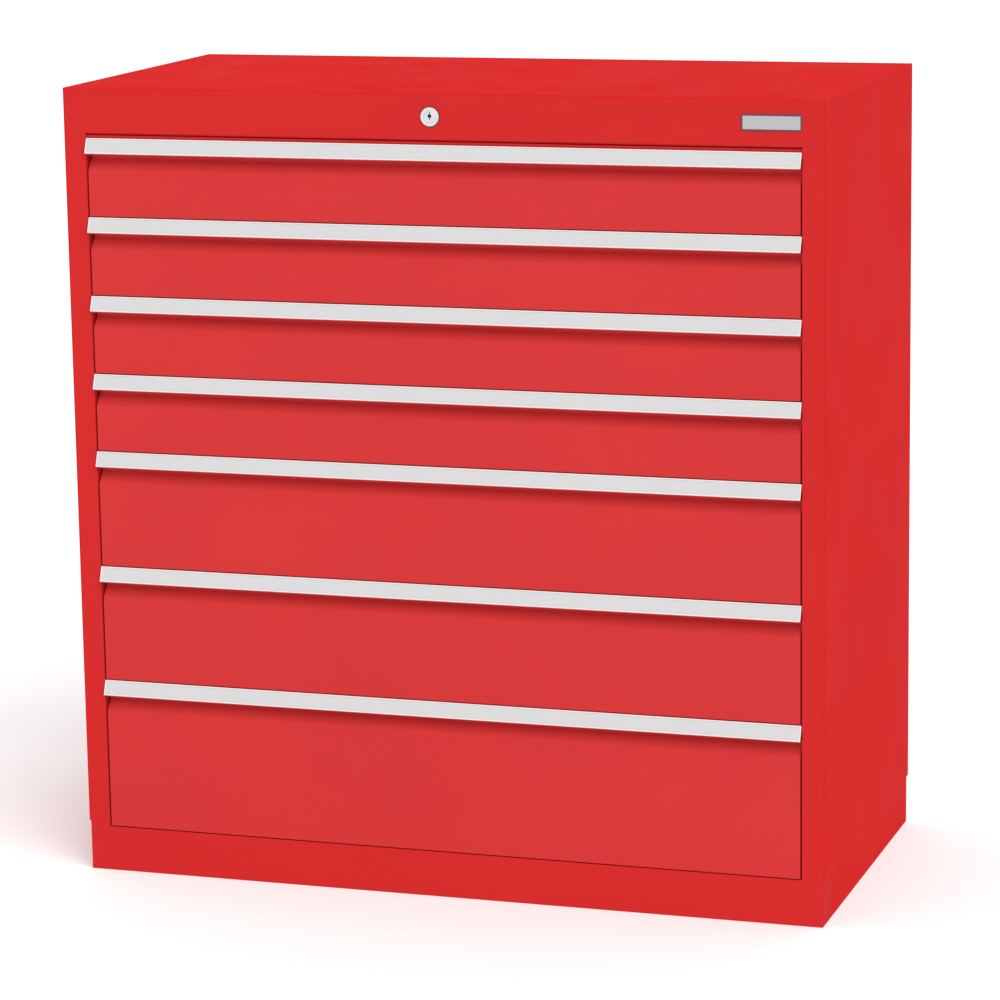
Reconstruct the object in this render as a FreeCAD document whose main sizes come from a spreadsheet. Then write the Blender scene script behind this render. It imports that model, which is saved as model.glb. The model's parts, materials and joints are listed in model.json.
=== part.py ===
import FreeCAD, Part
import os
import Sketcher

# Sheet-steel cabinet with seven telescopic drawers and a central lock.
# X runs across the front, Y from the front to the back, Z up; all lengths are in millimetres.
# The origin is the bottom centre of the whole cabinet. "Front plane" is the face of the uprights.

SIZES = {
    # housing
    "body_width": 980, "body_depth": 487,
    "side_skin": 2.3, "cover_sheet": 1.5, "back_sheet": 1.2, "frame_sheet": 1.5,
    "edge_round": 0.8, "stile_width": 28.9, "top_rail_height": 57.5, "bottom_rail_height": 58.1,
    "side_rise": 64.5, "base_side_height": 75, "upright_depth": 40, "upright_lip": 14,
    "top_rail_flange": 38, "top_rail_lip": 20, "top_rail_bend": 1.4, "base_flange": 30,
    "base_pan_sheet": 1.2,
    "cover_flange": 20, "cover_flange_gap": 2,
    "anchor_inset": 90, "anchor_hole_radius": 4.5,
    # drawer fronts, measured down from the top edge of their grip strip
    "low_pitch": 100, "middle_pitch": 150, "deep_front": 195.2, "top_reveal": 5.2,
    "front_gap": 0.8, "bottom_gap": 1.0,
    "front_side_gap": 2.2, "front_sheet": 1.2, "front_depth": 21, "nose_drop": 21,
    "recess_depth": 16, "recess_drop": 41, "recess_bend": 12, "recess_corner": 4,
    "nose_round": 1.6, "foot_round": 1.4,
    # grip strips
    "grip_overhang": 7.35, "grip_drop": 18.6, "grip_thickness": 2.2, "grip_end_gap": 0.8,
    "grip_rim": 1.5, "label_depth": 0.7,
    # trays
    "tray_sheet": 1.0, "tray_rear_gap": 19.8, "tray_top_drop": 18, "tray_floor_rise": 6,
    "rim_width": 7, "rim_sheet": 1.0,
    # telescopic slides
    "slide_space": 13.5, "slide_height": 38, "slide_rise": 6, "rail_sheet": 1.5, "rail_play": 0.5,
    "rail_side_play": 0.7, "outer_rail_reach": 9, "middle_rail_reach": 9.3, "inner_rail_reach": 8.5,
    "rail_front": 24, "rail_rear_gap": 16.8, "moving_rail_rear_gap": 36.8, "middle_rail_setback": 5,
    # lock
    "lock_shift": -3.6, "lock_rise": 0.4, "collar_radius": 11.75, "collar_height": 2.2, "collar_round": 0.8,
    "barrel_radius": 9.5, "barrel_play": 0.1, "barrel_length": 26, "plug_radius": 7.6,
    "plug_play": 0.05, "plug_sink": 0.5, "key_slot_width": 1.1, "key_slot_length": 9.2,
    "key_slot_depth": 12, "key_hole_radius": 2, "key_rise": 1, "nut_across": 26, "nut_height": 5,
    "cam_sheet": 3, "cam_width": 14, "cam_radius": 12, "pin_radius": 3, "pin_play": 0.6,
    "draw_bar_gap": 4.5, "draw_bar_height": 24, "draw_bar_margin": 8, "bar_sheet": 3,
    "stud_radius": 4, "stud_play": 0.3, "stud_overrun": 1.5, "stud_share": 0.25,
    "link_inset": 70, "link_margin": 8, "lock_lift": 7.5,
    "bar_width": 18, "bar_inset": 9, "bar_play": 0.3, "bar_foot": 90,
    "finger_reach": 13, "finger_height": 6, "finger_rise": 3, "catch_play": 1.5,
    "catch_reach": 8.4, "catch_gap": 1.7, "catch_depth": 4,
    # plate and screws
    "plate_width": 74, "plate_height": 19.5, "plate_thickness": 0.8, "plate_inset": 0.3,
    "plate_drop": 18.4, "plate_round": 1.2,
    "screw_head_radius": 5, "screw_head_height": 2, "screw_head_edge": 0.6, "screw_radius": 2.4,
    "screw_length": 9, "screw_play": 0.3, "screw_end_gap": 40,
    # one overrun for every cutting tool, and how closely an edge must match its place
    "overrun": 5, "match": 0.001,
}
SCREWS_PER_POST = 6
CAM_REST = -45  # degrees from upright; the lock turns a quarter to the other side
PITCHES = ["low_pitch"] * 4 + ["middle_pitch"] * 2  # strip to strip; the last front is the deep one

doc = FreeCAD.newDocument("drawer_cabinet")
dims = doc.addObject("Spreadsheet::Sheet", "dims")
for row, (alias, size) in enumerate(SIZES.items(), start=1):
    dims.set(f"A{row}", alias)
    dims.set(f"B{row}", str(size))
    dims.setAlias(f"B{row}", alias)
doc.recompute()

# Derived places, each written once as an expression on the sheet
HALF_WIDTH = "dims.body_width / 2"
BOTTOM_FRONT = "(dims.bottom_rail_height + dims.bottom_gap)"
OPENING_TOP = "(" + " + ".join([BOTTOM_FRONT, "dims.deep_front", "dims.top_reveal"]
                               + [f"dims.{pitch}" for pitch in PITCHES]) + ")"
BODY_HEIGHT = f"({OPENING_TOP} + dims.top_rail_height)"
UNDER_COVER = f"({BODY_HEIGHT} - dims.cover_sheet)"
FRONT_Y = "(dims.grip_overhang - dims.body_depth - dims.screw_head_height) / 2"
SKIN_IN = f"({HALF_WIDTH} - dims.side_skin)"
STILE_IN = f"({HALF_WIDTH} - dims.stile_width)"
BACK_IN = "(dims.body_depth - dims.back_sheet)"
POST_FRONT = f"({BACK_IN} - dims.upright_depth)"
FRONT_HALF = f"({STILE_IN} - dims.front_side_gap)"
GRIP_FACE = "sqrt(dims.grip_overhang ^ 2 + dims.grip_drop ^ 2)"
GRIP_LEAN = "dims.grip_overhang / dims.grip_drop"
TRAY_HALF = f"({STILE_IN} - dims.slide_space)"
LOCK_Z = f"({BODY_HEIGHT} - dims.top_rail_height / 2 + dims.lock_rise)"
PIN_OFFSET = "(dims.cam_radius * sqrt(2) / 2)"
STROKE = f"(2 * {PIN_OFFSET})"
CAM_BACK = "(dims.barrel_length + dims.cam_sheet)"
DRAW_FRONT = f"({CAM_BACK} + dims.draw_bar_gap)"
DRAW_BACK = f"({DRAW_FRONT} + dims.bar_sheet)"
DRAW_MID = f"({LOCK_Z} + (dims.cam_radius + {PIN_OFFSET}) / 2)"
LINK_X = f"({HALF_WIDTH} - dims.link_inset)"
LINK_Z = f"({DRAW_MID} - dims.lock_lift / 2)"
BAR_OUT = f"({HALF_WIDTH} - dims.bar_inset)"
BAR_IN = f"({BAR_OUT} - dims.bar_width)"
BAR_FRONT = "(dims.upright_depth + dims.bar_play)"
BAR_BACK = f"({BAR_FRONT} + dims.bar_sheet)"
BAR_MID = f"(({BAR_OUT} + {BAR_IN}) / 2)"
BAR_TOP = f"({LINK_Z} + dims.link_margin)"
GUIDE_LOW = f"(dims.bar_foot + dims.stud_share * ({BAR_TOP} - dims.bar_foot))"
GUIDE_HIGH = f"({BAR_TOP} - dims.stud_share * ({BAR_TOP} - dims.bar_foot))"
GUIDE_LEFT = f"(dims.lock_shift + dims.stud_share * ({LINK_X} - dims.lock_shift))"
GUIDE_RIGHT = f"({LINK_X} - dims.stud_share * ({LINK_X} - dims.lock_shift))"

nodes = []


def value(text):
    # the present value of an expression on the sheet
    return dims.evalExpression(text.replace("dims.", ""))


def at(number, text):
    return abs(number - value(text)) < value("dims.match")


def add_node(obj, label):
    obj.Label = label
    nodes.append(obj)


def bind(obj, **sizes):
    for name, text in sizes.items():
        obj.setExpression(name, text)


def place(obj, x="0", y="0", z="0"):
    for axis, text in zip("xyz", (x, y, z)):
        obj.setExpression(f"Placement.Base.{axis}", text)


def box(name, low, high):
    # a block between two corners, each given as three expressions
    block = doc.addObject("Part::Box", name)
    for size, start, end in zip(("Length", "Width", "Height"), low, high):
        block.setExpression(size, f"({end}) - ({start})")
    place(block, *low)
    return block


def rod(name, radius, start, length, along="y"):
    # a round bar from one point, running along Y, or along Z
    bar = doc.addObject("Part::Cylinder", name)
    if along == "y":
        bar.Placement.Rotation = FreeCAD.Rotation(FreeCAD.Vector(1, 0, 0), -90)
    bind(bar, Radius=radius, Height=length)
    place(bar, *start)
    return bar


def join(name, parts):
    whole = doc.addObject("Part::MultiFuse", name)
    whole.Shapes = parts
    whole.Refine = True
    return whole


def group(name, parts):
    # separate solids kept together in one node
    several = doc.addObject("Part::Compound", name)
    several.Links = parts
    return several


def cut(name, base, tools):
    result = doc.addObject("Part::Cut", name)
    result.Base = base
    result.Tool = tools[0] if len(tools) == 1 else join(f"{name}_tools", tools)
    return result


def mirrored(side, inner, outer):
    # the X span of a piece that lies between two distances from the middle, on one side
    return (inner, outer) if side > 0 else (f"-({outer})", f"-({inner})")


def outline(body, name, plane, points):
    # a closed polygon; each corner is tied to the sketch origin by two sizes from the sheet
    sketch = body.newObject("Sketcher::SketchObject", name)
    origin_plane = next(f for f in body.Origin.OriginFeatures if f.Role == plane)
    sketch.AttachmentSupport = [(origin_plane, "")]
    sketch.MapMode = "FlatFace"
    corners = [[value(text) for text in point] for point in points]
    count = len(points)
    for i, corner in enumerate(corners):
        end = corners[(i + 1) % count]
        sketch.addGeometry(Part.LineSegment(FreeCAD.Vector(*corner, 0), FreeCAD.Vector(*end, 0)))
    for i in range(count):
        sketch.addConstraint(Sketcher.Constraint("Coincident", i, 2, (i + 1) % count, 1))
    for i, (point, corner) in enumerate(zip(points, corners)):
        for kind, text, size in zip(("DistanceX", "DistanceY"), point, corner):
            index = sketch.addConstraint(Sketcher.Constraint(kind, i, 1, size))
            sketch.renameConstraint(index, f"{kind}_{i}")
            sketch.setExpression(f"Constraints.{kind}_{i}", text)
    return sketch


def extruded(name, plane, points, length, centred=False):
    body = doc.addObject("PartDesign::Body", name)
    pad = body.newObject("PartDesign::Pad", f"{name}_pad")
    pad.Profile = outline(body, f"{name}_outline", plane, points)
    pad.SideType = "Symmetric" if centred else "One side"
    bind(pad, Length=length)
    body.Tip = pad
    return body


def turned(name, points, place_at):
    # a solid of revolution about Y; each point is a depth and a radius
    body = doc.addObject("PartDesign::Body", name)
    sketch = outline(body, f"{name}_outline", "YZ_Plane", points)
    turn = body.newObject("PartDesign::Revolution", f"{name}_turn")
    turn.Profile = sketch
    turn.ReferenceAxis = (sketch, ["H_Axis"])
    turn.Angle = 360
    body.Tip = turn
    place(body, *place_at)
    return body


def edges_where(feature, test):
    doc.recompute()
    found = []
    for i, edge in enumerate(feature.Shape.Edges, start=1):
        if test(edge):
            found.append(f"Edge{i}")
    return found


def rounded(body, name, test, radius):
    base = body.Tip
    bend = body.newObject("PartDesign::Fillet", name)
    bend.Base = (base, edges_where(base, test))
    bind(bend, Radius=radius)
    body.Tip = bend
    return bend


# Housing


def side_panel(side, label):
    # flat skin that stops above the base, its two long outer edges rounded
    length = f"{UNDER_COVER} - dims.side_rise"
    points = [("0", "0"), ("dims.side_skin", "0"), ("dims.side_skin", "dims.body_depth"),
              ("0", "dims.body_depth")]
    body = extruded(label, "XY_Plane", points, length)
    outer = "dims.side_skin" if side > 0 else "0"

    def outer_upright(edge):
        return not at(edge.BoundBox.ZLength, "0") and at(edge.BoundBox.XMin, outer)

    rounded(body, f"{label}_edges", outer_upright, "dims.edge_round")
    place(body, mirrored(side, SKIN_IN, HALF_WIDTH)[0], FRONT_Y, "dims.side_rise")
    add_node(body, label)


def post(side, label, turn, foot, mount_plane):
    # C-shaped upright with one inner lip; the closed wall faces the drawers
    width = "(dims.stile_width - dims.side_skin)"
    wall = "dims.frame_sheet"
    depth = "dims.upright_depth"
    points = [("0", "0"), (width, "0"), (width, depth), (f"{width} - {wall}", depth),
              (f"{width} - {wall}", wall), (wall, wall), (wall, f"{depth} - {wall}"),
              ("dims.upright_lip", f"{depth} - {wall}"), ("dims.upright_lip", depth), ("0", depth)]
    if side > 0:
        points = [(f"-({x})", y) for x, y in points]
    if turn:
        points = [(x, f"-({y})") for x, y in points]
    body = extruded(label, "XY_Plane", points, f"{UNDER_COVER} - ({foot})")
    x = SKIN_IN if side > 0 else f"-{SKIN_IN}"
    place(body, x, f"{FRONT_Y} + {mount_plane}", foot)
    return body


def shifted(point):
    # the same place, moved from the front plane to the cabinet's own origin
    x, y, z = point
    return x, f"{FRONT_Y} + ({y})", z


def block(name, low, high):
    return box(name, shifted(low), shifted(high))


def pin(name, radius, start, length):
    return rod(name, radius, shifted(start), length)


def front_uprights():
    add_node(post(-1, "left_front_upright", False, "0", "0"), "left_front_upright")
    base = post(1, "right_upright_channel", False, "0", "0")
    start_y = "dims.upright_depth - dims.frame_sheet / 2"
    studs = [pin(f"bar_stud_{i}", "dims.stud_radius", (BAR_MID, start_y, height),
                 f"dims.frame_sheet / 2 + dims.bar_play + dims.bar_sheet + dims.stud_overrun")
             for i, height in enumerate((GUIDE_LOW, GUIDE_HIGH))]
    add_node(join("right_front_upright", [base] + studs), "right_front_upright")


def screw_places():
    low = "dims.base_side_height + dims.screw_end_gap"
    high = f"{UNDER_COVER} - dims.screw_end_gap"
    for side in (-1, 1):
        x = f"{side} * ({HALF_WIDTH} - (dims.side_skin + dims.stile_width) / 2)"
        for i in range(SCREWS_PER_POST):
            yield x, f"{low} + {i} / {SCREWS_PER_POST - 1} * ({high} - ({low}))"


def screw_holes(name):
    return [pin(f"{name}_{i}", "dims.screw_radius + dims.screw_play",
                (x, f"{BACK_IN} - dims.overrun", z), "dims.back_sheet + 2 * dims.overrun")
            for i, (x, z) in enumerate(screw_places())]


def rear_posts():
    for side, label in ((-1, "left_rear_post"), (1, "right_rear_post")):
        base = post(side, f"{label}_channel", True, "dims.base_side_height", BACK_IN)
        add_node(cut(label, base, screw_holes(f"{label}_hole")), label)


def back_panel():
    sheet = block("back_sheet_blank", (f"-{SKIN_IN}", BACK_IN, "0"),
                  (SKIN_IN, "dims.body_depth", UNDER_COVER))
    add_node(cut("back_panel", sheet, screw_holes("back_hole")), "back_panel")


def back_screws():
    screws = []
    for i, (x, z) in enumerate(screw_places()):
        head, edge = "dims.screw_head_height", "dims.screw_head_edge"
        points = [(f"-(dims.screw_length)", "0"), (head, "0"), (head, f"dims.screw_head_radius - {edge}"),
                  (f"{head} - {edge}", "dims.screw_head_radius"), ("0", "dims.screw_head_radius"),
                  ("0", "dims.screw_radius"), (f"-(dims.screw_length)", "dims.screw_radius")]
        screws.append(turned(f"back_screw_{i}", points, shifted((x, "dims.body_depth", z))))
    add_node(group("back_screws", screws), "back_screws")


def top_cover():
    sheet = block("cover_sheet_blank", (f"-{HALF_WIDTH}", "0", UNDER_COVER),
                  (HALF_WIDTH, "dims.body_depth", BODY_HEIGHT))
    parts = [sheet]
    low = f"{UNDER_COVER} - dims.cover_flange"
    start = "dims.upright_depth + dims.cover_flange_gap"
    end = f"{POST_FRONT} - dims.cover_flange_gap"
    for side in (-1, 1):
        x0, x1 = mirrored(side, f"{SKIN_IN} - dims.cover_sheet", SKIN_IN)
        parts.append(block(f"cover_flange_{side + 1}", (x0, start, low), (x1, end, UNDER_COVER)))
    whole = join("cover_joined", parts)
    soft = doc.addObject("Part::Fillet", "top_cover")
    soft.Base = whole
    doc.recompute()
    rims = [i for i, e in enumerate(whole.Shape.Edges, start=1)
            if at(e.BoundBox.ZMin, BODY_HEIGHT) and at(e.BoundBox.ZMax, BODY_HEIGHT)]
    radius = value("dims.edge_round")
    soft.Edges = [(i, radius, radius) for i in rims]
    add_node(soft, "top_cover")


def guide_studs():
    start_y = "dims.frame_sheet / 2"
    length = f"{DRAW_BACK} + dims.stud_overrun - dims.frame_sheet / 2"
    return [pin(f"rail_stud_{i}", "dims.stud_radius", (x, start_y, DRAW_MID), length)
            for i, x in enumerate((GUIDE_LEFT, GUIDE_RIGHT))]


def top_rail():
    # channel with its face flush between the uprights and a round lower bend; it carries the lock
    # and two guide studs
    wall = "dims.frame_sheet"
    high = "(dims.top_rail_height - dims.cover_sheet)"
    points = [("0", "0"), ("dims.top_rail_flange", "0"), ("dims.top_rail_flange", wall), (wall, wall),
              (wall, f"{high} - {wall}"), ("dims.top_rail_lip", f"{high} - {wall}"),
              ("dims.top_rail_lip", high), ("0", high)]
    channel = extruded("rail_channel", "YZ_Plane", points, f"2 * {STILE_IN}", centred=True)

    def lower_fold(inset):
        def is_fold(edge):
            across = not at(edge.BoundBox.XLength, "0")
            return across and at(edge.BoundBox.YMin, inset) and at(edge.BoundBox.ZMax, inset)
        return is_fold

    rounded(channel, "rail_outer_bend", lower_fold("0"), f"dims.top_rail_bend + {wall}")
    rounded(channel, "rail_inner_bend", lower_fold(wall), "dims.top_rail_bend")
    place(channel, "0", FRONT_Y, OPENING_TOP)
    hole = pin("lock_hole", "dims.barrel_radius + dims.barrel_play",
               ("dims.lock_shift", "-dims.overrun", LOCK_Z), f"{wall} + 2 * dims.overrun")
    blank = join("rail_blank", [channel] + guide_studs())
    add_node(cut("top_rail", blank, [hole]), "top_rail")


def anchor_holes(name, depth):
    return [rod(f"{name}_{side + 1}", "dims.anchor_hole_radius",
                shifted((f"{side} * ({HALF_WIDTH} - dims.anchor_inset)", depth, "-dims.overrun")),
                "dims.frame_sheet + 2 * dims.overrun", along="z") for side in (-1, 1)]


def base_channel(label, near, opens_back):
    # channel along X with an upright web; its lower flange takes two floor anchors
    wall = "dims.frame_sheet"
    height = "dims.bottom_rail_height"
    far = f"({near} + dims.base_flange)"
    whole = block(f"{label}_whole", (f"-{STILE_IN}", near, "0"), (STILE_IN, far, height))
    start = f"{near} + {wall}" if opens_back else f"{near} - dims.overrun"
    end = f"{far} + dims.overrun" if opens_back else f"{far} - {wall}"
    hollow = block(f"{label}_hollow", (f"-{STILE_IN} - dims.overrun", start, wall),
                   (f"{STILE_IN} + dims.overrun", end, f"{height} - {wall}"))
    holes = anchor_holes(f"{label}_anchor", f"{near} + dims.base_flange / 2")
    add_node(cut(label, whole, [hollow] + holes), label)


def base_sides():
    # two C channels that carry the rear posts and the lower edge of the side panels
    channels = []
    wall = "dims.frame_sheet"
    for side in (-1, 1):
        low_x, high_x = mirrored(side, STILE_IN, SKIN_IN)
        whole = block(f"base_side_{side + 1}", (low_x, "dims.upright_depth", "0"),
                      (high_x, BACK_IN, "dims.base_side_height"))
        low_x, high_x = mirrored(side, f"{STILE_IN} - dims.overrun", f"{SKIN_IN} - {wall}")
        hollow = block(f"base_side_hollow_{side + 1}", (low_x, "dims.upright_depth - dims.overrun", wall),
                       (high_x, f"{BACK_IN} + dims.overrun", f"dims.base_side_height - {wall}"))
        channels.append(cut(f"base_side_channel_{side + 1}", whole, [hollow]))
    add_node(group("base_sides", channels), "base_sides")


def base_pan():
    # floor sheet under the upper flanges of the base, notched round the front uprights
    wall = "dims.frame_sheet"
    top = f"dims.bottom_rail_height - {wall}"
    sheet = block("base_pan_sheet", (f"-({SKIN_IN} - {wall})", wall, f"{top} - dims.base_pan_sheet"),
                  (f"{SKIN_IN} - {wall}", f"{BACK_IN} - {wall}", top))
    notches = []
    for side in (-1, 1):
        low_x, high_x = mirrored(side, STILE_IN, HALF_WIDTH)
        notches.append(block(f"pan_notch_{side + 1}", (low_x, "-dims.overrun", f"{top} - dims.overrun"),
                             (high_x, "dims.upright_depth", f"{top} + dims.overrun")))
    add_node(cut("base_pan", sheet, notches), "base_pan")


# Drawers


def strip_top(number):
    # height of the top edge of a drawer's grip strip, built up from the lowest front
    below = "".join(f" + dims.{pitch}" for pitch in PITCHES[number:])
    return f"({BOTTOM_FRONT} + dims.deep_front{below})"


def front_height(number):
    return f"(dims.{PITCHES[number]} - dims.front_gap)" if number < len(PITCHES) else "dims.deep_front"


def tray_floor(number):
    return f"({strip_top(number)} - {front_height(number)} + dims.tray_floor_rise)"


def slide_floor(number):
    return f"({tray_floor(number)} + dims.slide_rise)"


def slide_top(number):
    return f"({slide_floor(number)} + dims.slide_height)"


def drawer_front(number, label):
    # folded pan: leaning grip face, nose, finger recess, flat front; open at the back
    height = front_height(number)
    face_start = f"dims.grip_thickness * {GRIP_FACE} / dims.grip_drop"
    nose = f"{face_start} - dims.nose_drop * {GRIP_LEAN}"
    points = [(face_start, "0"), (nose, "-dims.nose_drop"), ("dims.recess_depth", "-dims.nose_drop"),
              ("0", "-dims.recess_drop"), ("0", f"-{height}"), ("dims.front_depth", f"-{height}"),
              ("dims.front_depth", "0")]
    body = extruded(label, "YZ_Plane", points, f"2 * {FRONT_HALF}", centred=True)

    def fold(depth, drop):
        def is_fold(edge):
            across = not at(edge.BoundBox.XLength, "0")
            return across and at(edge.BoundBox.YMin, depth) and at(edge.BoundBox.ZMin, drop)
        return is_fold

    rounded(body, f"{label}_recess_bend", fold("0", "-dims.recess_drop"), "dims.recess_bend")
    rounded(body, f"{label}_corner", fold("dims.recess_depth", "-dims.nose_drop"), "dims.recess_corner")
    rounded(body, f"{label}_nose", fold(nose, "-dims.nose_drop"), "dims.nose_round")
    rounded(body, f"{label}_foot", fold("0", f"-{height}"), "dims.foot_round")
    solid = body.Tip
    doc.recompute()
    wall = body.newObject("PartDesign::Thickness", f"{label}_wall")
    back = [f"Face{i}" for i, f in enumerate(solid.Shape.Faces, start=1)
            if at(f.BoundBox.YMin, "dims.front_depth")]
    wall.Base = (solid, back)
    bind(wall, Value="dims.front_sheet")
    wall.Reversed = True
    wall.Join = "Intersection"
    body.Tip = wall
    place(body, "0", FRONT_Y, strip_top(number))
    add_node(body, label)


def grip_strip(number, label):
    # flat bar with a sunk label face, leaning forward on the drawer front
    half = f"({STILE_IN} - dims.grip_end_gap)"
    bar = box(f"{label}_bar", (f"-{half}", "0", f"-{GRIP_FACE}"), (half, "dims.grip_thickness", "0"))
    rim = "dims.grip_rim"
    sink = box(f"{label}_label", (f"-{half} + {rim}", "-dims.overrun", f"-{GRIP_FACE} + {rim}"),
               (f"{half} - {rim}", "dims.label_depth", f"-({rim})"))
    strip = cut(label, bar, [sink])
    strip.Placement.Rotation = FreeCAD.Rotation(FreeCAD.Vector(-1, 0, 0), 1)
    bind(strip, **{"Placement.Rotation.Angle": f"atan({GRIP_LEAN})"})
    place(strip, "0", FRONT_Y, strip_top(number))
    add_node(strip, label)


def tray(number, label):
    # open box of welded sheets: floor, two sides with folded rims, rear wall and a full-size inner
    # front; a catch for the lock sits on the right side
    wall = "dims.tray_sheet"
    floor = tray_floor(number)
    floor_top = f"({floor} + {wall})"
    rim_top = f"({strip_top(number)} - dims.tray_top_drop)"
    start = "dims.front_depth"
    inside = f"({start} + {wall})"
    end = f"({BACK_IN} - dims.tray_rear_gap)"
    half = TRAY_HALF
    side_in = f"({half} - {wall})"
    front_foot = f"{strip_top(number)} - {front_height(number)}"
    parts = [block(f"{label}_floor", (f"-{half}", inside, floor), (half, end, floor_top)),
             block(f"{label}_rear", (f"-{side_in}", f"{end} - {wall}", floor_top), (side_in, end, rim_top)),
             block(f"{label}_inner_front", (f"-{FRONT_HALF}", start, front_foot),
                   (FRONT_HALF, inside, strip_top(number)))]
    for side in (-1, 1):
        low_x, high_x = mirrored(side, side_in, half)
        upright = block(f"{label}_wall_{side + 1}", (low_x, inside, floor_top), (high_x, end, rim_top))
        low_x, high_x = mirrored(side, f"{half} - dims.rim_width", half)
        rim = block(f"{label}_rim_{side + 1}", (low_x, inside, f"{rim_top} - dims.rim_sheet"),
                    (high_x, f"{end} - {wall}", rim_top))
        parts.append(join(f"{label}_side_{side + 1}", [upright, rim]))
    low = f"{slide_top(number)} + dims.finger_rise + dims.finger_height + dims.catch_play"
    near = f"({BAR_BACK} + dims.catch_gap)"
    far_x, far_y = f"{half} + dims.catch_reach", f"{near} + dims.catch_depth"
    parts.append(block(f"{label}_catch", (half, near, low), (far_x, far_y, f"{low} + dims.finger_height")))
    add_node(group(label, parts), label)


def rail(name, side, span, depths, heights, web_inside):
    # one C-shaped rail along Y; its web is on the tray side or on the housing side
    wall = "dims.rail_sheet"
    near, far = span
    low_x, high_x = mirrored(side, f"{STILE_IN} - ({far})", f"{STILE_IN} - ({near})")
    whole = block(f"{name}_whole", (low_x, depths[0], heights[0]), (high_x, depths[1], heights[1]))
    if web_inside:
        inner, outer = f"{STILE_IN} - ({far}) + {wall}", f"{STILE_IN} - ({near}) + dims.overrun"
    else:
        inner, outer = f"{STILE_IN} - ({far}) - dims.overrun", f"{STILE_IN} - ({near}) - {wall}"
    low_x, high_x = mirrored(side, inner, outer)
    hollow = block(f"{name}_hollow", (low_x, f"{depths[0]} - dims.overrun", f"{heights[0]} + {wall}"),
                   (high_x, f"{depths[1]} + dims.overrun", f"{heights[1]} - {wall}"))
    return cut(name, whole, [hollow])


def slide_rails(number):
    # heights and depths of the three nested rails of one slide
    low, high = slide_floor(number), slide_top(number)
    step = "(dims.rail_sheet + dims.rail_play)"
    start = "dims.rail_front"
    middle_start = "(dims.rail_front + dims.middle_rail_setback)"
    outer_span = ("0", "dims.outer_rail_reach")
    middle_near = "(dims.rail_sheet + dims.rail_side_play)"
    middle_span = (middle_near, f"{middle_near} + dims.middle_rail_reach")
    inner_span = ("(dims.slide_space - dims.inner_rail_reach)", "dims.slide_space")
    moving_end = f"({BACK_IN} - dims.moving_rail_rear_gap)"
    outer = (outer_span, (start, f"({BACK_IN} - dims.rail_rear_gap)"), (low, high), False)
    middle = (middle_span, (middle_start, f"({moving_end} + dims.middle_rail_setback)"),
              (f"({low} + {step})", f"({high} - {step})"), False)
    inner = (inner_span, (start, moving_end), (f"({low} + 2 * {step})", f"({high} - 2 * {step})"), True)
    return outer, middle, inner


def drawers():
    outer_rails = {-1: [], 1: []}
    for number in range(len(PITCHES) + 1):
        name = f"drawer_{number + 1}"
        drawer_front(number, f"{name}_front")
        grip_strip(number, f"{name}_grip")
        tray(number, f"{name}_tray")
        outer, middle, inner = slide_rails(number)
        for side in (-1, 1):
            outer_rails[side].append(rail(f"outer_rail_{number}_{side + 1}", side, *outer))
        for part, sizes in (("middle_rails", middle), ("inner_rails", inner)):
            pair = [rail(f"{name}_{part}_{side + 1}", side, *sizes) for side in (-1, 1)]
            add_node(group(f"{name}_{part}", pair), f"{name}_{part}")
    add_node(group("left_cabinet_rails", outer_rails[-1]), "left_cabinet_rails")
    add_node(group("right_cabinet_rails", outer_rails[1]), "right_cabinet_rails")


# Central lock


def slot_tool(name, centre, half_length, half_width, upright=False):
    # a round-ended slot through the draw bar or the locking bar
    x, y, z = centre
    near, far = f"{y} - dims.overrun", f"{y} + dims.bar_sheet + dims.overrun"
    long_x, long_z = ("0", half_length) if upright else (half_length, "0")
    wide_x, wide_z = (half_width, half_length) if upright else (half_length, half_width)
    parts = [block(f"{name}_middle", (f"{x} - ({wide_x})", near, f"{z} - ({wide_z})"),
                   (f"{x} + ({wide_x})", far, f"{z} + ({wide_z})"))]
    for end in (-1, 1):
        middle = (f"{x} + {end} * ({long_x})", near, f"{z} + {end} * ({long_z})")
        parts.append(pin(f"{name}_end_{end + 1}", half_width, middle, f"{far} - ({near})"))
    return parts


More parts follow.
